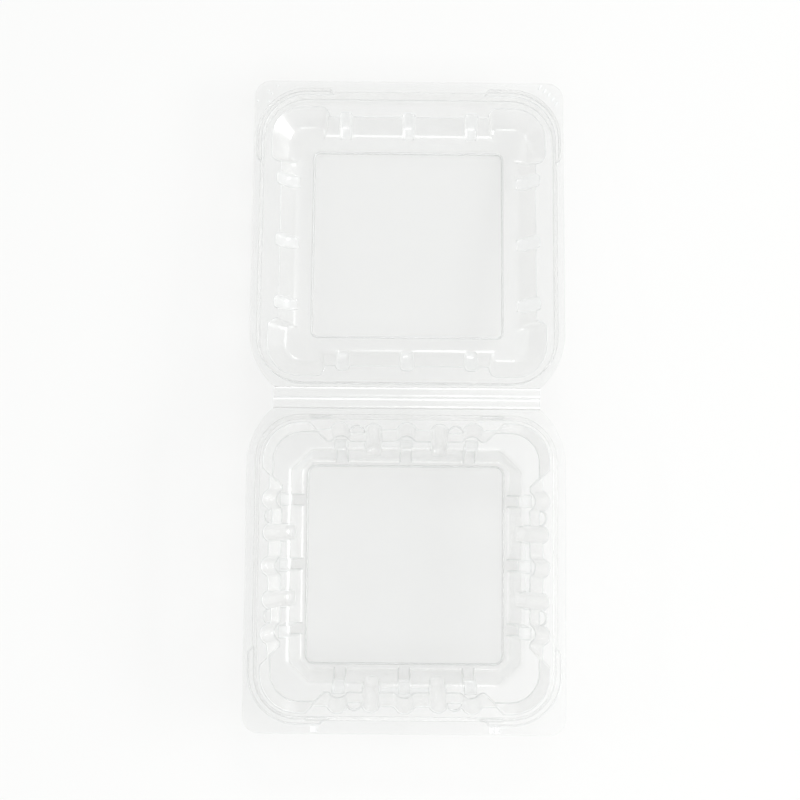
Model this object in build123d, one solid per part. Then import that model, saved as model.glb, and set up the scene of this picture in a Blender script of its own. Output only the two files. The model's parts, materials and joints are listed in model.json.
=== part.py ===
from build123d import *
import math
import os

# A clear hinged food pack, thermoformed from one plastic sheet, lying open.
# Millimetres. The origin lies on the table under the middle of the open pack.
# +X is to the right, +Y runs from the base across the hinge to the lid, +Z is up.
# The base and the lid are each made round their own middle and then moved into place.

# The sheet, and the places of what repeats along each wall
sheet = 0.4
pitch = 33.0
flute_places = (-pitch, 0.0, pitch)
knob_places = (-pitch / 2, pitch / 2)

# Flange outline, the same for both halves, measured from the middle of a half
flange_half = 80.0
front_lip = 2.2
flange_corner = 8.6
web_inset = 13.0
sweep_length = 30.0
flange_front = flange_half + front_lip
web_half = flange_half - web_inset
sweep_start = flange_half - sweep_length

# Hinge web: two shallow valleys that meet at the crease
web_setback = 1.1
web_reach = 5.3
valley_depth = 0.8
crease_gap = 0.2
face_gap = 0.3
web_edge = flange_half - web_setback
crease_place = web_edge + web_reach

# Base: raised rim, from the flange inwards
flange_height = 28.5
rim_height = 6.5
rim_margin = 4.4
rim_slope = 2.4
rim_foot_corner = 23.0
rim_round = 0.6
rim_foot_half = flange_half - rim_margin
rim_top_half = rim_foot_half - rim_slope
rim_top = flange_height + rim_height

# Base: upper wall down to the ledge, then the steep lower wall down to the foot
lip_width = 5.6
upper_depth = 11.5
upper_slope = 5.3
upper_corner = 14.0
ledge_width = 4.3
ledge_bevel = 10.7
shoulder_round = 2.4
lower_slope = 4.4
foot_bevel = 4.8
lower_soft = 3.0
foot_round = 1.2
upper_top_half = rim_top_half - lip_width
ledge_outer_half = upper_top_half - upper_slope
ledge_inner_half = ledge_outer_half - ledge_width
foot_half = ledge_inner_half - lower_slope
ledge_level = rim_top - upper_depth

# Base: raised floor panel inside the foot ring
foot_ring = 2.4
panel_corner = 5.0
panel_draft = 0.4
panel_rise = 0.8
panel_half = foot_half - foot_ring

# Base: corner shelves at the level of the ledge
shelf_margin = 2.2
shelf_corner = 18.6
shelf_slope = 4.0
shelf_start = 40.2
shelf_half = rim_top_half - shelf_margin

# Base: flutes, with a narrow channel below the ledge and a slanting bowl above it
channel_width = 5.5
channel_low_bulge = 6.8
channel_top_bulge = 4.9
channel_round = 2.0
bowl_radius = 5.3
bowl_low_bulge = 2.0
bowl_top_bulge = 2.9
wave_round = 2.6

# Base: slanting half-round pockets with domed ends, between the flutes
knob_top_radius = 4.7
knob_low_radius = 3.8
knob_top_inset = 2.2
knob_low_inset = 0.4
knob_depth = 20.0
dome_tip = 0.5
knob_level = rim_top - knob_depth

# Base: small lens-shaped lugs that keep nested packs apart
lug_offset = 8.4
lug_radius = 3.6
lug_bulge = 1.9
lug_depth = 3.0

# Snap beads on the rim and the pockets for them in the lid
bead_place = 43.0
bead_length = 13.0
bead_radius = 1.6
bead_height = 3.0
bead_sink = 0.2
bead_clearance = 0.4
bead_reach = rim_foot_half - bead_sink

# Low steps round the two front corners of the rim, and their recess in the lid
step_reach = 2.1
step_corner_growth = 2.0
step_height = 2.5
step_draft = 0.5
step_start = 42.0
step_clearance = 0.5
step_half = rim_foot_half + step_reach
step_corner = rim_foot_corner + step_corner_growth

# Dimples in the base's front flange: place along X and width
dimples = ((-44.4, 3.3), (43.4, 2.3), (46.2, 2.3))
dimple_length = 2.9
dimple_depth = 0.6
dimple_edge = 0.9

# Lid: first stage down to its ledge, which fits over the base's rim
ring_clearance = 0.5
ring_draft = 0.6
ring_depth = 9.0
ring_half = rim_foot_half + ring_clearance
ring_corner = rim_foot_corner + ring_clearance

# Lid: second stage down to its floor, with lobes at its corners
lid_floor_depth = 18.0
lid_ledge_width = 9.7
wall_slope = 8.9
wall_bevel = 5.0
wall_round = 6.0
lobe_margin = 4.5
lobe_corner = 16.5
lobe_slope = 9.6
lobe_start = 43.2
lobe_end_draft = 8.0
lobe_end_round = 4.5
lobe_round = 4.2
wall_top_half = ring_half - lid_ledge_width
wall_foot_half = wall_top_half - wall_slope
lobe_half = ring_half - lobe_margin
lobe_foot_half = lobe_half - lobe_slope

# Lid: flutes in the walls, and the dropped panel in the floor
lid_flute_width = 6.6
lid_flute_top_bulge = 2.5
lid_flute_low_bulge = 4.5
lid_flute_round = 2.0
lid_flute_foot_round = 9.0
lid_floor_ring = 7.8
lid_panel_corner = 3.2
lid_panel_drop = 1.0
lid_panel_half = wall_foot_half - lid_floor_ring
lid_depth = lid_floor_depth + lid_panel_drop + sheet

# The open lid leans until the far edge of its panel meets the table.
pivot_height = flange_height + face_gap / 2
touch_reach = crease_place + lid_panel_half
touch_drop = lid_depth + face_gap / 2
lid_lean = math.asin(pivot_height / math.hypot(touch_reach, touch_drop)) - math.atan2(
    touch_drop, touch_reach
)

# The middle of the open pack, counted from the middle of the base
far_edge = crease_place + (crease_place + flange_front) * math.cos(lid_lean) - (
    face_gap / 2 * math.sin(lid_lean)
)
pack_middle = (far_edge - flange_front) / 2

# A pocket's side profile starts this far inside the cavity.
profile_start = foot_half - 3.6

# Directions of the four corners, and of the two at the front
all_corners = (45, 135, 225, 315)
front_corners = (225, 315)


def rounded_square(half, corner, level):
    """A square face with round corners, lying at a level."""
    return Pos(0, 0, level) * RectangleRounded(2 * half, 2 * half, corner)


def frustum(low_half, low_corner, low, high_half, high):
    """A rounded square block with sloping sides; its corners grow or shrink with its half."""
    taper = math.degrees(math.atan2(low_half - high_half, high - low))
    return extrude(rounded_square(low_half, low_corner, low), high - low, taper=taper)


def flat_sided(low_points, low, high_points, high):
    """A block with flat sides between two outlines of as many corners."""
    bottom = [Vector(x, y, low) for x, y in low_points]
    top = [Vector(x, y, high) for x, y in high_points]
    faces = [Face(Wire.make_polygon(bottom)), Face(Wire.make_polygon(top))]
    for index in range(len(bottom)):
        following = (index + 1) % len(bottom)
        side = (bottom[index], bottom[following], top[following], top[index])
        faces.append(Face(Wire.make_polygon(side)))
    return Solid(Shell(faces))


def bevelled_square(half, bevel):
    """The eight corners of a square with its corners cut off."""
    short = half - bevel
    return (
        (half, -short),
        (half, short),
        (short, half),
        (-short, half),
        (-half, short),
        (-half, -short),
        (-short, -half),
        (short, -half),
    )


def between(solid, low, high):
    """The part of a solid between two levels."""
    room = 4 * flange_half
    return solid & Pos(0, 0, (low + high) / 2) * Box(room, room, high - low)


def at_corners(solid, start, wall, low, high, corners=all_corners):
    """The parts of a solid over the corners, from where they leave a wall at a start place."""
    width = math.sqrt(2) * (wall - start)
    length = 2 * flange_front
    band = Pos(length / 2, 0, (low + high) / 2) * Box(length, width, high - low)
    return [solid & Rot(0, 0, turn) * band for turn in corners]


def on_each_side(solid):
    """A solid made for the +X side, repeated on all four sides."""
    return [Rot(0, 0, turn) * solid for turn in (0, 90, 180, 270)]


def channel(profile, foot_soft, width, place, side_round=0.0):
    """A pocket of constant width on the +X side, from its profile in XZ."""
    face = make_face(Polyline(*profile, close=True))
    foot = face.vertices().sort_by_distance(profile[1])[0]
    face = fillet(foot, foot_soft)
    body = Pos(0, place, 0) * extrude(Plane.XZ * face, width / 2, both=True)
    if side_round > 0:
        backs = body.edges().filter_by(Axis.Y, reverse=True).group_by(Axis.X)[-1]
        body = fillet(backs, side_round)
    return body


def slanted_round(radius, low_centre, top_centre, low, top):
    """A round pocket of constant radius on the +X side, slanting outwards as it rises."""
    run = math.hypot(top_centre - low_centre, top - low)
    lean = math.degrees(math.atan2(top_centre - low_centre, top - low))
    middle = Pos((low_centre + top_centre) / 2, 0, (low + top) / 2)
    return between(middle * Rot(0, lean, 0) * Cylinder(radius, 2 * run), low, top)


def capsule(length, radius):
    """A bar along X with domed ends, flat at their tips."""
    end = length / 2 - radius
    tip = end + math.sqrt(radius**2 - dome_tip**2)
    profile = Wire(
        [
            Line((-tip, 0), (tip, 0)),
            Line((tip, 0), (tip, dome_tip)),
            RadiusArc((tip, dome_tip), (end, radius), -radius),
            Line((end, radius), (-end, radius)),
            RadiusArc((-end, radius), (-tip, dome_tip), -radius),
            Line((-tip, dome_tip), (-tip, 0)),
        ]
    )
    return revolve(Face(profile), Axis.X)


def domed_pocket(low_radius, top_radius, low_centre, top_centre, low, top):
    """A slanting round pocket on the +X side with a domed lower end, open at the top."""
    run = math.hypot(top_centre - low_centre, top - low)
    tall = 1.2 * run
    wide = low_radius + (top_radius - low_radius) * tall / run
    tip = -math.sqrt(low_radius**2 - dome_tip**2)
    profile = Wire(
        [
            Line((0, tip), (0, tall)),
            Line((0, tall), (wide, tall)),
            Line((wide, tall), (low_radius, 0)),
            RadiusArc((low_radius, 0), (dome_tip, tip), low_radius),
            Line((dome_tip, tip), (0, tip)),
        ]
    )
    body = Rot(0, 0, 180) * revolve(Plane.XZ * Face(profile), Axis.Z)
    lean = math.degrees(math.atan2(top_centre - low_centre, top - low))
    return between(Pos(low_centre, 0, low) * Rot(0, lean, 0) * body, low - tall, top)


def snap_beads(radius, level):
    """Four bars along the hinge-side and front walls."""
    bar = capsule(bead_length + 2 * (radius - bead_radius), radius)
    return [
        Pos(side_x * bead_place, side_y * (bead_reach - bead_radius), level) * bar
        for side_x in (-1, 1)
        for side_y in (-1, 1)
    ]


def flange_plate():
    """The flat flange of the base, with its swept corners beside the hinge."""
    corner_x = flange_half - flange_corner
    corner_y = -flange_front + flange_corner
    outline = Wire(
        [
            Line((flange_half, corner_y), (flange_half, sweep_start)),
            TangentArc((flange_half, sweep_start), (web_half, web_edge), tangent=(0, 1)),
            Line((web_half, web_edge), (-web_half, web_edge)),
            TangentArc((-flange_half, sweep_start), (-web_half, web_edge), tangent=(0, 1)),
            Line((-flange_half, sweep_start), (-flange_half, corner_y)),
            TangentArc((-flange_half, corner_y), (-corner_x, -flange_front), tangent=(0, -1)),
            Line((-corner_x, -flange_front), (corner_x, -flange_front)),
            TangentArc((corner_x, -flange_front), (flange_half, corner_y), tangent=(1, 0)),
        ]
    )
    return extrude(Face(outline), sheet, dir=(0, 0, -1))


def web_strip():
    """One valley of the hinge web, hanging between the flange and the crease."""
    end = crease_place - crease_gap / 2
    middle = (web_edge + end) / 2
    profile = Wire(
        [
            ThreePointArc((web_edge, 0), (middle, -valley_depth), (end, 0)),
            Line((end, 0), (end, -sheet)),
            ThreePointArc((end, -sheet), (middle, -valley_depth - sheet), (web_edge, -sheet)),
            Line((web_edge, -sheet), (web_edge, 0)),
        ]
    )
    return extrude(Plane.YZ * Face(profile), web_half, both=True)


def rim_block(skin):
    """The raised rim as a solid plug; skin > 0 gives the hollow under it."""
    low = flange_height - skin
    high = rim_top - skin
    low_half = rim_foot_half - skin
    high_half = low_half - rim_slope / rim_height * (high - low)
    plug = frustum(low_half, rim_foot_corner - skin, low, high_half, high)
    if skin == 0:
        plug = fillet(plug.edges().group_by(Axis.Z)[-1], rim_round)
    step_low = step_half - skin
    step_top = flange_height + step_height - skin
    step = frustum(step_low, step_corner - skin, low, step_low - step_draft, step_top)
    start = step_start + skin
    steps = at_corners(step, start, step_low, low, step_top, front_corners)
    return plug + snap_beads(bead_radius - skin, flange_height + bead_height) + steps


def base_walls(grow):
    """The plain room inside the base: lower wall, shoulder, ledge, wavy upper wall and shelves."""
    low = sheet - grow
    ledge = ledge_level - grow
    low_corner = upper_corner - upper_slope + grow
    upper = frustum(ledge_outer_half + grow, low_corner, ledge, upper_top_half + grow, rim_top)
    bowl = slanted_round(
        bowl_radius + grow,
        ledge_outer_half + bowl_low_bulge - bowl_radius,
        upper_top_half + bowl_top_bulge - bowl_radius,
        ledge,
        rim_top,
    )
    for place in flute_places:
        upper += on_each_side(Pos(0, place, 0) * bowl)
    tall = upper.edges().filter_by(
        lambda edge: edge.bounding_box().size.Z > upper_depth / 2
        and min(abs(edge.center().X), abs(edge.center().Y)) < pitch + 2 * bowl_radius
    )
    upper = fillet(tall, wave_round - grow)

    shelf_low = shelf_half - shelf_slope + grow
    shelf_low_corner = shelf_corner - shelf_slope + grow
    shelf = frustum(shelf_low, shelf_low_corner, ledge, shelf_half + grow, rim_top)
    shelves = at_corners(
        shelf, shelf_start - grow, ledge_outer_half + grow, ledge, rim_top
    )

    lower = flat_sided(
        bevelled_square(foot_half + grow, foot_bevel),
        low,
        bevelled_square(ledge_inner_half + grow, ledge_bevel),
        ledge_level,
    )
    tall = lower.edges().filter_by(lambda edge: edge.bounding_box().size.Z > ledge_level / 2)
    lower = fillet(tall, lower_soft + grow)
    lower = fillet(lower.edges().group_by(Axis.Z)[0], foot_round + grow)

    walls = lower + [upper] + shelves
    inner = ledge_inner_half + grow + ledge_width / 4
    shoulder = walls.edges().filter_by(
        lambda edge: edge.bounding_box().size.Z < sheet / 10
        and abs(edge.center().Z - ledge) < sheet / 10
        and max(abs(edge.center().X), abs(edge.center().Y)) < inner
    )
    return fillet(shoulder, shoulder_round - grow)


def base_space(grow):
    """The room inside the base; grow = sheet gives the outside of its walls."""
    low = sheet - grow
    profile = (
        (profile_start, low),
        (foot_half + channel_low_bulge + grow, low),
        (ledge_inner_half + channel_top_bulge + grow, ledge_level + sheet),
        (profile_start, ledge_level + sheet),
    )
    pockets = []
    for place in flute_places:
        body = channel(profile, channel_round + grow, channel_width + 2 * grow, place)
        pockets += on_each_side(body)

    knob = domed_pocket(
        knob_low_radius + grow,
        knob_top_radius + grow,
        ledge_inner_half - knob_low_inset,
        upper_top_half - knob_top_inset,
        knob_level,
        rim_top,
    )
    for place in knob_places:
        pockets += on_each_side(Pos(0, place, 0) * knob)

    lug_centre = upper_top_half + lug_bulge - lug_radius
    lug = Pos(lug_centre, 0, rim_top - (lug_depth + grow) / 2) * Cylinder(
        lug_radius + grow, lug_depth + grow
    )
    for place in (-pitch + lug_offset, pitch - lug_offset):
        pockets += on_each_side(Pos(0, place, 0) * lug)

    panel_low = panel_half - grow
    panel = frustum(panel_low, panel_corner - grow, low, panel_low - panel_draft, low + panel_rise)
    return base_walls(grow) + pockets - panel


def dimple_spaces(grow):
    """Small square dimples pressed down into the base's front flange."""
    spaces = []
    for place, width in dimples:
        deep = dimple_depth + grow
        face = Rectangle(width + 2 * grow, dimple_length + 2 * grow)
        taper = math.degrees(math.atan2(dimple_edge / 2, dimple_depth))
        body = extrude(face, deep, dir=(0, 0, -1), taper=taper)
        middle = -flange_front + dimple_length / 2 + dimple_edge
        spaces.append(Pos(place, middle, flange_height) * body)
    return spaces


def base_tray():
    """The lower half: flange, rim, fluted walls, foot and half of the hinge web."""
    tray = Pos(0, 0, flange_height) * (flange_plate() + web_strip())
    tray = tray + rim_block(0) - rim_block(sheet)
    tray = tray + base_space(sheet) - base_space(0)
    return tray + dimple_spaces(sheet) - dimple_spaces(0)


def lid_lobe(grow, floor):
    """The round-ended lobe over the lid's +X +Y corner."""
    low_corner = lobe_corner - lobe_slope + grow
    lobe = frustum(lobe_foot_half + grow, low_corner, floor, lobe_half + grow, -ring_depth)
    tall = -ring_depth - floor
    inner = lobe_start - grow
    size = 2 * flange_half
    block = Pos(inner + size / 2, inner + size / 2, floor) * Rectangle(size, size)
    lobe = lobe & extrude(block, tall, taper=-lobe_end_draft)
    ends = lobe.edges().filter_by(
        lambda edge: edge.bounding_box().size.Z > tall / 2
        and min(edge.center().X, edge.center().Y) < inner + 1
        and max(edge.center().X, edge.center().Y) > inner + 5
    )
    lobe = fillet(ends, lobe_end_round + grow)
    foot = lobe.edges().group_by(Axis.Z)[0].filter_by(
        lambda edge: max(edge.center().X, edge.center().Y) > lobe_foot_half - lobe_end_round
    )
    return fillet(foot, lobe_round + grow)


def lid_space(grow):
    """The room inside the lid, from its flange at level 0 down; its front is at -Y."""
    ledge = -ring_depth - grow
    floor = -lid_floor_depth - grow
    ring_low = ring_half - ring_draft + grow
    space = frustum(ring_low, ring_corner - ring_draft + grow, ledge, ring_half + grow, 0)

    wall = flat_sided(
        bevelled_square(wall_foot_half + grow, wall_bevel),
        floor,
        bevelled_square(wall_top_half + grow, wall_bevel),
        -ring_depth,
    )
    wall = fillet(wall.edges().group_by(Axis.Z)[0], wall_round + grow)

    deep = -step_height - step_clearance - grow
    around = step_clearance + grow
    step_low = step_half - step_draft + around
    step = frustum(step_low, step_corner - step_draft + around, deep, step_half + around, 0)
    steps = at_corners(step, step_start - around, step_low, deep, 0, front_corners)

    profile = (
        (profile_start, floor),
        (wall_foot_half + lid_flute_low_bulge + grow, floor),
        (wall_top_half + lid_flute_top_bulge + grow, -ring_depth + sheet),
        (profile_start, -ring_depth + sheet),
    )
    pockets = snap_beads(bead_radius + bead_clearance + grow, -bead_height)
    for place in flute_places:
        width = lid_flute_width + 2 * grow
        foot_soft = lid_flute_foot_round + grow
        body = channel(profile, foot_soft, width, place, lid_flute_round + grow)
        pockets += on_each_side(body)

    panel_low = lid_panel_half - panel_draft + grow
    panel_low_corner = lid_panel_corner - panel_draft + grow
    drop = floor - lid_panel_drop
    panel = frustum(panel_low, panel_low_corner, drop, lid_panel_half + grow, floor)
    return space + [wall] + on_each_side(lid_lobe(grow, floor)) + steps + pockets + [panel]


def lid():
    """The upper half, turned to lie open beyond the hinge and lean on the table."""
    shell = flange_plate() + web_strip() + lid_space(sheet) - lid_space(0)
    shell = Pos(0, 2 * crease_place, flange_height) * Rot(0, 0, 180) * shell
    hinge = Axis((0, crease_place, pivot_height), (1, 0, 0))
    return shell.rotate(hinge, -math.degrees(lid_lean))


def main():
    os.makedirs("parts", exist_ok=True)
    print("lid leans by", round(math.degrees(lid_lean), 3), "degrees")
    for name, make in (("base_tray", base_tray), ("lid", lid)):
        solid = Pos(0, -pack_middle, 0) * make()
        print(name, "solids", len(solid.solids()), "volume", round(solid.volume, 1))
        export_step(solid, f"parts/{name}.step")


if __name__ == "__main__":
    main()
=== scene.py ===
"""Clear hinged food pack: skins, creases, grips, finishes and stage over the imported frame."""
import json
import math

import bmesh
import bpy
from mathutils import Euler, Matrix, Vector


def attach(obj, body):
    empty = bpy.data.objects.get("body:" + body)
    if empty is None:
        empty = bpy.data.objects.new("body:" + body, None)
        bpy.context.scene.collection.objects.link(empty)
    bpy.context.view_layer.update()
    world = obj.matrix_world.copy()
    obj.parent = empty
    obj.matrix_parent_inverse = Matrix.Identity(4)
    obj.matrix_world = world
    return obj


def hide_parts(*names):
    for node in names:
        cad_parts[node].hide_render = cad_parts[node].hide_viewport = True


bl_info = {
    "name": "Clear Hinged Pack",
    "version": (1, 0, 0),
    "blender": (4, 5, 0),
    "location": "View3D > Sidebar > Pack",
    "description": "Dresses an open thermoformed pack in clear sheet and lights it",
    "category": "Object",
}

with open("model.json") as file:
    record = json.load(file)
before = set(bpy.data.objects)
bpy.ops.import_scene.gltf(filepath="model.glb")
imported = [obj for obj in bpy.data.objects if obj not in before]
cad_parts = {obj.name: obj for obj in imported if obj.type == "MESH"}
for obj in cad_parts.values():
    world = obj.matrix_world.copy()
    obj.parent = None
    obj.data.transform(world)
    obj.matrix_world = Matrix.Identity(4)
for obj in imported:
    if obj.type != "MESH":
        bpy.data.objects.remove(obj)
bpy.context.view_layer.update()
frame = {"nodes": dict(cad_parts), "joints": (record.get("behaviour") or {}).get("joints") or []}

# The lid lies in its own plane beyond the hinge, and the joint says where that is and how it leans.
HINGE = frame["joints"][0]
HINGE_PLACE = Vector(HINGE["pos_m"])
LID_LEAN = math.radians(HINGE["range_deg"][1] - 180)
# Every length below is in metres. The flange faces lie a little under the hinge.
FACE_DROP = 0.00015
HINGE_TO_MIDDLE = 0.0842

HALVES = (("base", "base_tray"), ("lid", "lid"))

# Numbers of a skin's materials
CLEAR = 0
FROSTED = 1
# The dimples are near white as a painted glint.
DIMPLE_GLINT = 2

# Flutes are placed alike along all four sides of both halves. Each band says how far from the
# middle of its half a flute starts and ends, half its width, and how far under the flange it is.
FLUTE_PLACES = (-0.033, 0.0, 0.033)
FLUTE_BANDS = {"base": (0.0525, 0.0645, 0.0034, 0.0048), "lid": (0.0570, 0.0695, 0.0037, 0.0095)}
DIMPLE_PLACES = (-0.0444, 0.0434, 0.0462)
DIMPLE_BAND = (0.0782, 0.0816, 0.0019)
DIMPLE_DROP = 0.0003

# How a mesh is cleaned: the reach within which points are joined, the bend under which a face
# counts as flat, the bend over which an edge stays sharp, and the lean that a normal may have
JOIN_REACH = 2e-6
FLAT_BEND = math.radians(0.5)
SHARP_BEND = math.radians(32)
MOST_NORMAL_LEAN = math.radians(22)

# How the sheet scatters light: plastic's index of refraction, the shine of the film and the gloss,
# the scale of its cloudiness, and the depth of its ripple
INDEX = 1.57
FILM_ROUGHNESS = 0.16
GLOSS_ROUGHNESS = 0.22
CLOUD_SCALE = 28.0
RIPPLE_STRENGTH = 0.12
RIPPLE_DEPTH = 0.0004
EDGE_MIRROR = 0.4
EDGE_MIRROR_POWER = 5.0

# Each finish: least and most cover, scale of the ripple, share of the light that comes from behind
CLEAR_RIPPLE = 60.0
CLEAR_BACKLIT = 0.3
FROSTED_FINISH = (0.24, 0.42, 120.0, 0.6)
# Painted shade: the threads in the hollow folds are darker and denser than the sheet.
CREASE_SHADE_FINISH = (0.25, 0.42, 220.0, 0.3)
# Painted highlight: the threads on the ridges and along the crease are paler and denser than the
# sheet.
RIDGE_HIGHLIGHT_FINISH = (0.6, 0.85, 220.0, 0.3)
# Painted glint: the dimples are near white and nearly opaque.
DIMPLE_GLINT_FINISH = (0.9, 0.95, 220.0, 0.2)
# The grips are real raised marks; their dense pale sheet is a painted highlight.
GRIP_HIGHLIGHT_FINISH = (0.8, 0.9, 220.0, 0.4)

# Threads along the folds: the two valleys of the web, darker as painted shade, and the crease itself
# and the ridges, paler as painted highlights
WEB_FOLDS = {"Least Bend": math.radians(20), "Reach": 0.0075, "Radius": 0.00025}
CREASE_GLINT = {"Side": 1.0, "Reach": 0.0007, "Radius": 0.00009}
RIDGE_GLINTS = {"Side": 1.0, "Least Drop": 0.0012}


# Shader maths

class Value:
    """A shader socket that adds its Math nodes when used in an expression."""

    def __init__(self, shader, socket):
        self.shader = shader
        self.socket = socket

    def math(self, operation, *others, clamp=False):
        inputs = {0: self}
        for index, other in enumerate(others):
            inputs[index + 1] = other
        settings = {"operation": operation, "use_clamp": clamp}
        return self.shader.node("ShaderNodeMath", settings, inputs).value(0)

    def __add__(self, other):
        return self.math("ADD", other)

    __radd__ = __add__

    def __mul__(self, other):
        return self.math("MULTIPLY", other)

    __rmul__ = __mul__

    def __sub__(self, other):
        return self.math("SUBTRACT", other)

    def __rsub__(self, other):
        return (self * -1.0) + other

    def __pow__(self, other):
        return self.math("POWER", other)

    def clamped(self):
        return self.math("ADD", 0.0, clamp=True)


class Made:
    """A node that was just made, with its outputs by name or number."""

    def __init__(self, shader, node):
        self.shader = shader
        self.node = node

    def value(self, output):
        return Value(self.shader, self.node.outputs[output])


class Shader:
    """A material's tree, with one way to add any node."""

    def __init__(self, name):
        self.material = bpy.data.materials.new(name)
        self.material.use_nodes = True
        self.tree = self.material.node_tree
        self.tree.nodes.clear()

    def node(self, kind, settings=None, inputs=None):
        made = self.tree.nodes.new(kind)
        for key, value in (settings or {}).items():
            setattr(made, key, value)
        for key, value in (inputs or {}).items():
            if isinstance(value, Value):
                self.tree.links.new(value.socket, made.inputs[key])
            else:
                made.inputs[key].default_value = value
        return Made(self, made)

    def place(self):
        return self.node("ShaderNodeTexCoord").value("Object")

    def noise(self, scale, detail=2.0, stretch=(1.0, 1.0, 1.0)):
        mapped = self.node(
            "ShaderNodeMapping", inputs={"Vector": self.place(), "Scale": stretch}
        ).value("Vector")
        inputs = {"Vector": mapped, "Scale": scale, "Detail": detail}
        return self.node("ShaderNodeTexNoise", inputs=inputs).value(0)

    def facing(self):
        """0 where the surface faces the eye and 1 where it is seen edge on."""
        return self.node("ShaderNodeLayerWeight", inputs={"Blend": 0.5}).value("Facing")

    def mixed(self, factor, first, second):
        inputs = {0: factor, 1: first, 2: second}
        return self.node("ShaderNodeMixShader", inputs=inputs).value(0)

    def finish(self, surface):
        self.node("ShaderNodeOutputMaterial", inputs={"Surface": surface})
        return self.material


def clear_plastic(name, sizes, body_color, least, most, ripple, backlit):
    """Clear sheet: mostly see-through, denser and shinier where it is seen edge on."""
    shader = Shader(name)
    facing = shader.facing()
    cloud = shader.noise(CLOUD_SCALE, 3.0)
    dense = facing ** sizes.edge_power
    cover = (dense * (most - least) + least) * (cloud * 0.24 + 0.88)
    waves = shader.noise(ripple, 2.0, (1.0, 0.6, 1.0))
    bump = shader.node(
        "ShaderNodeBump",
        inputs={"Strength": RIPPLE_STRENGTH, "Distance": RIPPLE_DEPTH, "Height": waves},
    ).value("Normal")
    film = shader.node(
        "ShaderNodeBsdfPrincipled",
        inputs={
            "Base Color": body_color,
            "Roughness": cloud * 0.12 + FILM_ROUGHNESS,
            "IOR": INDEX,
            "Normal": bump,
        },
    ).value(0)
    glowing = shader.node("ShaderNodeBsdfTranslucent", inputs={"Color": body_color}).value(0)
    film = shader.mixed(backlit, film, glowing)
    through = shader.node(
        "ShaderNodeBsdfTransparent", inputs={"Color": (*sizes.tint, 1.0)}
    ).value(0)
    body = shader.mixed(cover.clamped(), through, film)
    gloss = shader.node(
        "ShaderNodeBsdfGlossy",
        inputs={"Color": (1.0, 1.0, 1.0, 1.0), "Roughness": GLOSS_ROUGHNESS, "Normal": bump},
    ).value(0)
    mirror = (facing ** EDGE_MIRROR_POWER) * EDGE_MIRROR + sizes.mirror
    return shader.finish(shader.mixed(mirror.clamped(), body, gloss))


def floor_paper(name, sizes):
    """Pale paper that is evenly lit and keeps a faint shadow."""
    shader = Shader(name)
    color = (*sizes.floor_color, 1.0)
    paper = shader.node("ShaderNodeBsdfDiffuse", inputs={"Color": color}).value(0)
    glow = shader.node("ShaderNodeEmission", inputs={"Color": color, "Strength": 1.0}).value(0)
    return shader.finish(shader.mixed(sizes.floor_glow, paper, glow))


# Meshes

def link(name, mesh):
    made = bpy.data.objects.new(name, mesh)
    bpy.context.scene.collection.objects.link(made)
    return made


def flatten_bent(mesh):
    """Makes those faces flat whose smooth normals would lean far from them at a corner."""
    normals = mesh.corner_normals
    least = math.cos(MOST_NORMAL_LEAN)
    bent = []
    for face in mesh.polygons:
        if min(normals[corner].vector.dot(face.normal) for corner in face.loop_indices) < least:
            bent.append(face)
    for face in bent:
        face.use_smooth = False


def merged_copy(node, name):
    """The solid's mesh with its loose triangles joined, its flats dissolved and its curves smooth."""
    mesh = frame["nodes"][node].data.copy()
    mesh.name = name
    mesh.materials.clear()
    work = bmesh.new()
    work.from_mesh(mesh)
    bmesh.ops.remove_doubles(work, verts=work.verts, dist=JOIN_REACH)
    bmesh.ops.dissolve_limit(
        work,
        angle_limit=FLAT_BEND,
        verts=work.verts,
        edges=work.edges,
        use_dissolve_boundaries=False,
    )
    work.to_mesh(mesh)
    work.free()
    mesh.polygons.foreach_set("use_smooth", [True] * len(mesh.polygons))
    mesh.set_sharp_from_angle(angle=SHARP_BEND)
    flatten_bent(mesh)
    return mesh


def lid_place(x, y):
    """A point on the lid's flange; x and y are counted from the lid's own middle."""
    run = HINGE_TO_MIDDLE + y
    drop = -FACE_DROP
    return Vector(
        (
            x,
            HINGE_PLACE.y + run * math.cos(LID_LEAN) + drop * math.sin(LID_LEAN),
            HINGE_PLACE.z - run * math.sin(LID_LEAN) + drop * math.cos(LID_LEAN),
        )
    )


def half_place(point, lean):
    """A point counted from the middle of its half, in the plane of that half's flange."""
    away = point - HINGE_PLACE
    along = abs(away.y * math.cos(lean) - away.z * math.sin(lean))
    height = away.y * math.sin(lean) + away.z * math.cos(lean)
    return away.x, along - HINGE_TO_MIDDLE, height


def sheet_kind(body, point, lean):
    """The number of a face's material, from the place of its middle."""
    x, y, height = half_place(point, lean)
    start, end, half_width, drop = FLUTE_BANDS[body]
    for out, across in ((abs(x), y), (abs(y), x)):
        near = min(abs(across - place) for place in FLUTE_PLACES)
        if start < out < end and near < half_width and height < -drop:
            return FROSTED
    start, end, half_width = DIMPLE_BAND
    near = min(abs(x - place) for place in DIMPLE_PLACES)
    if body == "base" and start < y < end and near < half_width and height < -DIMPLE_DROP:
        return DIMPLE_GLINT
    return CLEAR


def frost(mesh, body, lean):
    """Gives the flutes and dimples of a skin their own materials; the dimples are painted near white
    as a glint.
    """
    for face in mesh.polygons:
        face.material_index = sheet_kind(body, face.center, lean)


def without_dimples(mesh):
    """A copy of a skin without the faces of its dimples, so that they get no threads."""
    copy = mesh.copy()
    work = bmesh.new()
    work.from_mesh(copy)
    dimples = [face for face in work.faces if face.material_index == DIMPLE_GLINT]
    bmesh.ops.delete(work, geom=dimples, context="FACES")
    work.to_mesh(copy)
    work.free()
    return copy


def baked(source, name):
    """A plain object from what an object's modifiers make of it; the source is removed."""
    graph = bpy.context.evaluated_depsgraph_get()
    mesh = bpy.data.meshes.new_from_object(source.evaluated_get(graph))
    mesh.name = name
    bpy.data.objects.remove(source)
    return link(name, mesh)


# Geometry Nodes

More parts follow.
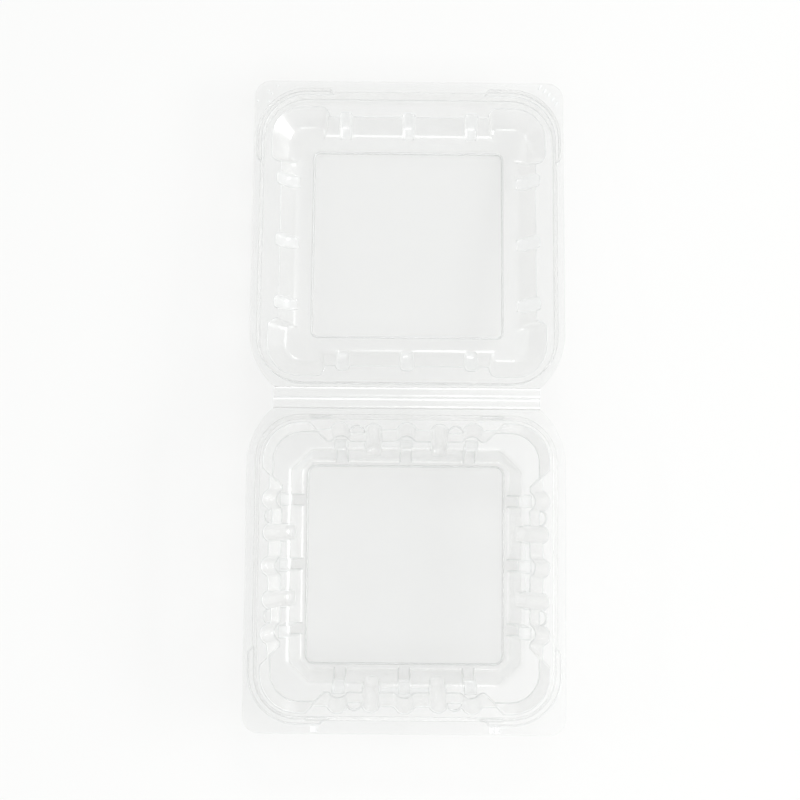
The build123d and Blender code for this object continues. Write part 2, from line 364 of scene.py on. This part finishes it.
class Tree:
    """A Geometry Nodes tree with named inputs."""

    def __init__(self, name):
        self.group = bpy.data.node_groups.new(name, "GeometryNodeTree")
        self.group.interface.new_socket("Geometry", in_out="INPUT", socket_type="NodeSocketGeometry")
        self.group.interface.new_socket(
            "Geometry", in_out="OUTPUT", socket_type="NodeSocketGeometry"
        )
        self.start = self.group.nodes.new("NodeGroupInput")

    def number(self, name, default, kind="NodeSocketFloat"):
        socket = self.group.interface.new_socket(name, in_out="INPUT", socket_type=kind)
        socket.default_value = default
        return self.start.outputs[name]

    def node(self, kind, settings=None, inputs=None):
        made = self.group.nodes.new(kind)
        for key, value in (settings or {}).items():
            setattr(made, key, value)
        for key, value in (inputs or {}).items():
            if isinstance(value, bpy.types.NodeSocket):
                self.group.links.new(value, made.inputs[key])
            else:
                made.inputs[key].default_value = value
        return made

    def finish(self, geometry, material):
        real = self.node("GeometryNodeRealizeInstances", inputs={"Geometry": geometry})
        dressed = self.node(
            "GeometryNodeSetMaterial",
            inputs={"Geometry": real.outputs[0], "Material": material},
        )
        end = self.group.nodes.new("NodeGroupOutput")
        self.group.links.new(dressed.outputs[0], end.inputs[0])
        return self.group


def grown(name, mesh, group, values):
    """The mesh run through a tree with its named inputs set."""
    source = link(name + "_source", mesh)
    modifier = source.modifiers.new(name, "NODES")
    modifier.node_group = group
    for item in group.interface.items_tree:
        if item.item_type == "SOCKET" and item.in_out == "INPUT" and item.name in values:
            modifier[item.identifier] = values[item.name]
    return baked(source, name)


def fold_tree(name, material):
    """Rounds the level folds of a skin with a fine thread of sheet in the given material, which
    paints shade along the hollows or highlights along the ridges.
    """
    tree = Tree(name)
    side = tree.number("Side", -1.0)
    bend = tree.number("Least Bend", math.radians(40))
    radius = tree.number("Radius", 0.0002)
    sides = tree.number("Sides", 6, "NodeSocketInt")
    rise = tree.number("Most Rise", 0.3)
    clear = tree.number("Least Drop", 0.0)
    reach = tree.number("Reach", 1.0)
    level = tree.number("Level", (0.0, 0.0, 0.0), "NodeSocketVector")
    upright = tree.number("Upright", (0.0, 0.0, 1.0), "NodeSocketVector")

    def math_node(operation, *values):
        return tree.node(
            "ShaderNodeMath", {"operation": operation}, dict(enumerate(values))
        ).outputs[0]

    def vector_node(operation, output, *values):
        return tree.node(
            "ShaderNodeVectorMath", {"operation": operation}, dict(enumerate(values))
        ).outputs[output]

    angle = tree.node("GeometryNodeInputMeshEdgeAngle")
    bent = math_node("MULTIPLY", angle.outputs["Signed Angle"], side)
    sharp = math_node("GREATER_THAN", bent, bend)
    ends = tree.node("GeometryNodeInputMeshEdgeVertices")
    first = ends.outputs["Position 1"]
    run = vector_node("SUBTRACT", "Vector", first, ends.outputs["Position 2"])
    along = vector_node("NORMALIZE", "Vector", run)
    climb = math_node("ABSOLUTE", vector_node("DOT_PRODUCT", "Value", along, upright))
    flat = math_node("LESS_THAN", climb, rise)
    away = vector_node("SUBTRACT", "Vector", first, level)
    drop = math_node("ABSOLUTE", vector_node("DOT_PRODUCT", "Value", away, upright))
    apart = math_node("GREATER_THAN", drop, clear)
    aside = math_node("ABSOLUTE", vector_node("DOT_PRODUCT", "Value", away, (0.0, 1.0, 0.0)))
    near = math_node("LESS_THAN", aside, reach)
    chosen = math_node(
        "MULTIPLY", math_node("MULTIPLY", sharp, flat), math_node("MULTIPLY", apart, near)
    )
    lines = tree.node(
        "GeometryNodeMeshToCurve",
        inputs={"Mesh": tree.start.outputs["Geometry"], "Selection": chosen},
    )
    ring = tree.node(
        "GeometryNodeCurvePrimitiveCircle",
        {"mode": "RADIUS"},
        {"Resolution": sides, "Radius": radius},
    )
    thread = tree.node(
        "GeometryNodeCurveToMesh",
        inputs={
            "Curve": lines.outputs[0],
            "Profile Curve": ring.outputs[0],
            "Fill Caps": True,
        },
    )
    smooth = tree.node(
        "GeometryNodeSetShadeSmooth", inputs={"Geometry": thread.outputs[0], "Shade Smooth": True}
    )
    return tree.finish(smooth.outputs[0], material)


def grip_tree(material):
    """Sets a small raised bar on each point, turned and stretched as the point says."""
    tree = Tree("grips")
    radius = tree.number("Radius", 0.0004)
    ball = tree.node(
        "GeometryNodeMeshUVSphere", inputs={"Segments": 12, "Rings": 7, "Radius": radius}
    )
    turn = tree.node(
        "GeometryNodeInputNamedAttribute", {"data_type": "FLOAT_VECTOR"}, {"Name": "turn"}
    )
    stretch = tree.node(
        "GeometryNodeInputNamedAttribute", {"data_type": "FLOAT_VECTOR"}, {"Name": "stretch"}
    )
    points = tree.node(
        "GeometryNodeMeshToPoints", inputs={"Mesh": tree.start.outputs["Geometry"]}
    )
    bars = tree.node(
        "GeometryNodeInstanceOnPoints",
        inputs={
            "Points": points.outputs[0],
            "Instance": ball.outputs["Mesh"],
            "Rotation": turn.outputs[0],
            "Scale": stretch.outputs[0],
        },
    )
    smooth = tree.node(
        "GeometryNodeSetShadeSmooth", inputs={"Geometry": bars.outputs[0], "Shade Smooth": True}
    )
    return tree.finish(smooth.outputs[0], material)


# Sizes and colours that a user would change

class PackSizes(bpy.types.PropertyGroup):
    tint: bpy.props.FloatVectorProperty(
        name="Tint",
        description="Light that one face of the sheet lets through",
        default=(0.975, 0.976, 0.974),
        size=3,
        subtype="COLOR",
    )
    sheet_color: bpy.props.FloatVectorProperty(
        name="Sheet Colour",
        description="Colour of the sheet where it is dense",
        default=(0.86, 0.865, 0.86),
        size=3,
        subtype="COLOR",
    )
    least_cover: bpy.props.FloatProperty(
        name="Least Cover",
        description="How much of what is behind a face seen square on is hidden",
        default=0.05,
        subtype="FACTOR",
    )
    most_cover: bpy.props.FloatProperty(
        name="Most Cover",
        description="How much of what is behind a face seen edge on is hidden",
        default=0.62,
        subtype="FACTOR",
    )
    edge_power: bpy.props.FloatProperty(
        name="Edge Power",
        description="How late the sheet turns dense as it is seen edge on",
        default=4.0,
    )
    mirror: bpy.props.FloatProperty(
        name="Mirror",
        description="Mirror reflection of a face seen square on",
        default=0.08,
        subtype="FACTOR",
    )
    crease_radius: bpy.props.FloatProperty(
        name="Crease Radius",
        description="Radius of the rounded folds",
        default=0.00011,
        unit="LENGTH",
    )
    ridge_radius: bpy.props.FloatProperty(
        name="Ridge Radius",
        description="Radius of the rounded ridges",
        default=0.00018,
        unit="LENGTH",
    )
    crease_bend: bpy.props.FloatProperty(
        name="Least Bend",
        description="Least bend of a fold that gets a rounded crease",
        default=math.radians(30),
        subtype="ANGLE",
    )
    # Painted shade: the threads in the hollow folds get this darker colour in place of the shade
    # along real folds.
    crease_shade_color: bpy.props.FloatVectorProperty(
        name="Crease Colour",
        description="Colour of the sheet along its folds",
        default=(0.62, 0.625, 0.62),
        size=3,
        subtype="COLOR",
    )
    # This pale colour also paints highlights on the ridge and crease threads and on the grips.
    frost_color: bpy.props.FloatVectorProperty(
        name="Frost Colour",
        description="Colour of the frosted flutes, ridges and grips",
        default=(0.96, 0.97, 0.97),
        size=3,
        subtype="COLOR",
    )
    grip_radius: bpy.props.FloatProperty(
        name="Grip Radius",
        description="Radius of the raised dots on the lid's far corners",
        default=0.0006,
        unit="LENGTH",
    )


class StageSizes(bpy.types.PropertyGroup):
    floor_color: bpy.props.FloatVectorProperty(
        name="Floor Colour",
        description="Colour of the pale ground",
        default=(0.888, 0.888, 0.88),
        size=3,
        subtype="COLOR",
    )
    floor_glow: bpy.props.FloatProperty(
        name="Floor Glow",
        description="Share of the ground that shows at its own colour whatever the light",
        default=0.6,
        subtype="FACTOR",
    )
    floor_reach: bpy.props.FloatProperty(
        name="Floor Reach", description="Half the width of the ground", default=3.0, unit="LENGTH"
    )
    sky_strength: bpy.props.FloatProperty(
        name="Sky Strength", description="Strength of the soft light overhead", default=0.9
    )
    sky_low: bpy.props.FloatProperty(
        name="Low Sky", description="Strength of the soft light near the horizon", default=0.66
    )
    sky_lean: bpy.props.FloatProperty(
        name="Sky Lean", description="How much brighter the sky is towards +X", default=0.12
    )
    lens: bpy.props.FloatProperty(
        name="Lens", description="Focal length in mm on a 36 mm sensor", default=61.4
    )
    camera_place: bpy.props.FloatVectorProperty(
        name="Camera Place",
        description="Where the camera stands",
        default=(-0.00668, -0.05604, 0.71171),
        size=3,
        subtype="XYZ",
        unit="LENGTH",
    )
    camera_turn: bpy.props.FloatVectorProperty(
        name="Camera Turn",
        description="How the camera is turned from straight down",
        default=(math.radians(4.617), math.radians(-0.311), math.radians(0.502)),
        size=3,
        subtype="EULER",
    )


# Pieces

class PACK_OT_skins(bpy.types.Operator):
    """Makes the smooth clear skins of the two halves and the threads along their folds, darker as
    painted shade in the hollows and paler as painted highlights on the ridges and the crease
    """

    bl_idname = "pack.skins"
    bl_label = "Skins and Creases"

    def execute(self, context):
        sizes = context.scene.pack_sizes
        sheet_color = (*sizes.sheet_color, 1.0)
        crease_shade_color = (*sizes.crease_shade_color, 1.0)
        frost_color = (*sizes.frost_color, 1.0)
        clear_finish = (sizes.least_cover, sizes.most_cover, CLEAR_RIPPLE, CLEAR_BACKLIT)
        sheet = clear_plastic("clear_sheet", sizes, sheet_color, *clear_finish)
        frosted = clear_plastic("clear_frost", sizes, frost_color, *FROSTED_FINISH)
        # Painted shade along the hollow folds and the web's valleys
        crease_shade = clear_plastic("painted_crease_shade", sizes, crease_shade_color, *CREASE_SHADE_FINISH)
        # Painted highlight along the ridges and the crease
        ridge = clear_plastic("painted_ridge_highlight", sizes, frost_color, *RIDGE_HIGHLIGHT_FINISH)
        # Painted glint on the dimples of the base's front flange
        dimple_glint = clear_plastic("painted_dimple_glint", sizes, (1.0, 1.0, 1.0, 1.0), *DIMPLE_GLINT_FINISH)
        creases = fold_tree("creases", crease_shade)
        ridges = fold_tree("ridges", ridge)
        for body, node in HALVES:
            mesh = merged_copy(node, body + "_skin")
            mesh.materials.append(sheet)
            mesh.materials.append(frosted)
            mesh.materials.append(dimple_glint)
            lean = LID_LEAN if body == "lid" else 0.0
            frost(mesh, body, lean)
            values = {
                "Radius": sizes.crease_radius,
                "Least Bend": sizes.crease_bend,
                "Level": HINGE_PLACE[:],
                "Upright": (0.0, math.sin(lean), math.cos(lean)),
            }
            threads = grown(body + "_creases", without_dimples(mesh), creases, values)
            folds = grown(body + "_web_folds", mesh.copy(), creases, values | WEB_FOLDS)
            # Painted highlight: pale threads along the edges of the crease
            line = grown(body + "_crease_glint", mesh.copy(), ridges, values | CREASE_GLINT)
            # Painted highlight: pale threads along the ridges
            values.update(RIDGE_GLINTS)
            values["Radius"] = sizes.ridge_radius
            glints = grown(body + "_ridge_glints", without_dimples(mesh), ridges, values)
            skin = link(body + "_skin", mesh)
            even = skin.modifiers.new("even_normals", "WEIGHTED_NORMAL")
            even.weight = 100
            even.keep_sharp = True
            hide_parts(node)
            for piece in (skin, threads, folds, line, glints):
                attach(piece, body)
        return {"FINISHED"}


# Raised marks on the lid's far corners, placed from the lid's middle in mm. They are low, because
# the flanges are close to each other when the pack is shut.
GRIP_DOTS = ((-68.3, 79.5), (-73.0, 76.5), (-71.3, 75.3), (-72.9, 70.9), (-78.6, 71.2))
GRIP_BARS = ((68.0, 80.0), (70.4, 78.2), (72.5, 76.0), (74.6, 73.6), (76.4, 71.2))
# Each kind of mark: its places, how it is turned and how it is stretched
GRIP_KINDS = (
    (GRIP_DOTS, 0.0, (1.0, 1.0, 0.33)),
    (GRIP_BARS, math.radians(55), (2.6, 0.9, 0.33)),
)


class PACK_OT_grips(bpy.types.Operator):
    """Makes the raised dots and bars that help to open the lid, in a dense pale sheet as a painted
    highlight
    """

    bl_idname = "pack.grips"
    bl_label = "Grips"

    def execute(self, context):
        sizes = context.scene.pack_sizes
        # Painted highlight: the raised marks are dense and pale so that they read as bright dots.
        raised = clear_plastic("painted_grip_highlight", sizes, (*sizes.frost_color, 1.0), *GRIP_HIGHLIGHT_FINISH)
        places = []
        turns = []
        stretches = []
        for marks, turn, stretch in GRIP_KINDS:
            for x, y in marks:
                places.append(lid_place(x / 1000, y / 1000))
                turns.append((-LID_LEAN, 0.0, turn))
                stretches.append(stretch)
        mesh = bpy.data.meshes.new("grip_points")
        mesh.from_pydata(places, [], [])
        for name, values in (("turn", turns), ("stretch", stretches)):
            layer = mesh.attributes.new(name, "FLOAT_VECTOR", "POINT")
            layer.data.foreach_set("vector", [number for value in values for number in value])
        grips = grown("lid_grips", mesh, grip_tree(raised), {"Radius": sizes.grip_radius})
        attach(grips, "lid")
        return {"FINISHED"}


# Each lamp: name, place, the point it is aimed at, size, power in W, whether gloss mirrors it
LAMPS = (
    ("key_lamp", (2.4, -0.3, 1.15), (0.0, 0.0, 0.0), (1.7, 0.66), 37.0, True),
    ("left_lamp", (-1.5, -0.05, 0.9), (0.0, 0.0, 0.0), (0.9, 0.15), 2.5, True),
    ("front_lamp", (0.1, -1.2, 1.3), (0.0, 0.0, 0.0), (0.7, 0.2), 2.6, True),
    ("far_lamp", (0.3, 1.2, 1.2), (0.0, 0.0, 0.0), (0.6, 0.2), 2.6, True),
    ("front_fill", (0.0, -1.6, 0.5), (0.0, 0.0, 0.0), (0.8, 0.5), 4.0, False),
    ("far_fill", (0.0, 1.6, 0.5), (0.0, 0.0, 0.0), (0.8, 0.5), 3.0, False),
    ("top_lamp", (0.47, -0.35, 1.6), (0.47, -0.35, 0.0), (0.6, 1.1), 0.8, True),
)

# The sky brightens between these two heights, given as parts of straight up.
SKY_RISE = (0.15, 0.75)
SKY_COLOR = (0.95, 0.96, 0.965, 1.0)
# The ground lies just under the foot, so that the two don't share a plane.
FLOOR_LEVEL = -0.0003


def area_lamp(name, place, aim, size, power, mirrored):
    """A soft rectangular lamp that points at a place."""
    lamp = bpy.data.lights.new(name, "AREA")
    lamp.shape = "RECTANGLE"
    lamp.size, lamp.size_y = size
    lamp.energy = power
    made = bpy.data.objects.new(name, lamp)
    bpy.context.scene.collection.objects.link(made)
    made.location = place
    made.visible_glossy = mirrored
    away = Vector(aim) - Vector(place)
    made.rotation_euler = away.to_track_quat("-Z", "Y").to_euler()


def soft_sky(sizes):
    """Soft light all round, brighter overhead and a little brighter towards +X."""
    world = bpy.data.worlds.new("soft_sky")
    world.use_nodes = True
    nodes = world.node_tree.nodes
    links = world.node_tree.links
    place = nodes.new("ShaderNodeTexCoord")
    side = nodes.new("ShaderNodeVectorMath")
    side.operation = "DOT_PRODUCT"
    side.inputs[1].default_value = (sizes.sky_lean, 0.0, 0.0)
    parts = nodes.new("ShaderNodeSeparateXYZ")
    height = nodes.new("ShaderNodeMapRange")
    height.interpolation_type = "SMOOTHSTEP"
    height.inputs["From Min"].default_value = SKY_RISE[0]
    height.inputs["From Max"].default_value = SKY_RISE[1]
    height.inputs["To Min"].default_value = sizes.sky_low
    height.inputs["To Max"].default_value = sizes.sky_strength
    strength = nodes.new("ShaderNodeMath")
    links.new(place.outputs["Generated"], side.inputs[0])
    links.new(place.outputs["Generated"], parts.inputs[0])
    links.new(parts.outputs["Z"], height.inputs["Value"])
    links.new(side.outputs["Value"], strength.inputs[0])
    links.new(height.outputs[0], strength.inputs[1])
    sky = nodes["Background"]
    sky.inputs["Color"].default_value = SKY_COLOR
    links.new(strength.outputs[0], sky.inputs["Strength"])
    return world


class PACK_OT_stage(bpy.types.Operator):
    """Makes the pale ground, the lamps, the soft sky and the camera"""

    bl_idname = "pack.stage"
    bl_label = "Stage"

    def execute(self, context):
        sizes = context.scene.stage_sizes
        scene = context.scene
        reach = sizes.floor_reach
        mesh = bpy.data.meshes.new("floor")
        sides = ((-reach, -reach), (reach, -reach), (reach, reach), (-reach, reach))
        mesh.from_pydata([(x, y, FLOOR_LEVEL) for x, y in sides], [], [(0, 1, 2, 3)])
        mesh.materials.append(floor_paper("pale_ground", sizes))
        link("floor", mesh)

        for lamp in LAMPS:
            area_lamp(*lamp)
        scene.world = soft_sky(sizes)

        lens = bpy.data.cameras.new("camera")
        lens.lens = sizes.lens
        lens.sensor_width = 36.0
        lens.clip_start = 0.01
        camera = bpy.data.objects.new("camera", lens)
        scene.collection.objects.link(camera)
        camera.location = sizes.camera_place
        camera.rotation_euler = Euler(sizes.camera_turn, "XYZ")
        scene.camera = camera
        scene.view_settings.view_transform = "Standard"
        scene.cycles.transparent_max_bounces = 40
        return {"FINISHED"}


class PACK_PT_panel(bpy.types.Panel):
    """Lists the pack's sizes and the steps that make it"""

    bl_idname = "PACK_PT_panel"
    bl_label = "Clear Pack"
    bl_space_type = "VIEW_3D"
    bl_region_type = "UI"
    bl_category = "Pack"

    def draw(self, context):
        for sizes in (context.scene.pack_sizes, context.scene.stage_sizes):
            for name in sizes.bl_rna.properties.keys():
                if name not in ("name", "rna_type"):
                    self.layout.prop(sizes, name)
        for operator in OPERATORS:
            self.layout.operator(operator.bl_idname)


OPERATORS = (PACK_OT_skins, PACK_OT_grips, PACK_OT_stage)
CLASSES = (PackSizes, StageSizes, *OPERATORS, PACK_PT_panel)


def register():
    for item in CLASSES:
        bpy.utils.register_class(item)
    bpy.types.Scene.pack_sizes = bpy.props.PointerProperty(type=PackSizes)
    bpy.types.Scene.stage_sizes = bpy.props.PointerProperty(type=StageSizes)


def unregister():
    del bpy.types.Scene.stage_sizes
    del bpy.types.Scene.pack_sizes
    for item in reversed(CLASSES):
        bpy.utils.unregister_class(item)


def main():
    register()
    bpy.ops.pack.skins()
    bpy.ops.pack.grips()
    bpy.ops.pack.stage()


if __name__ == "__main__":
    main()
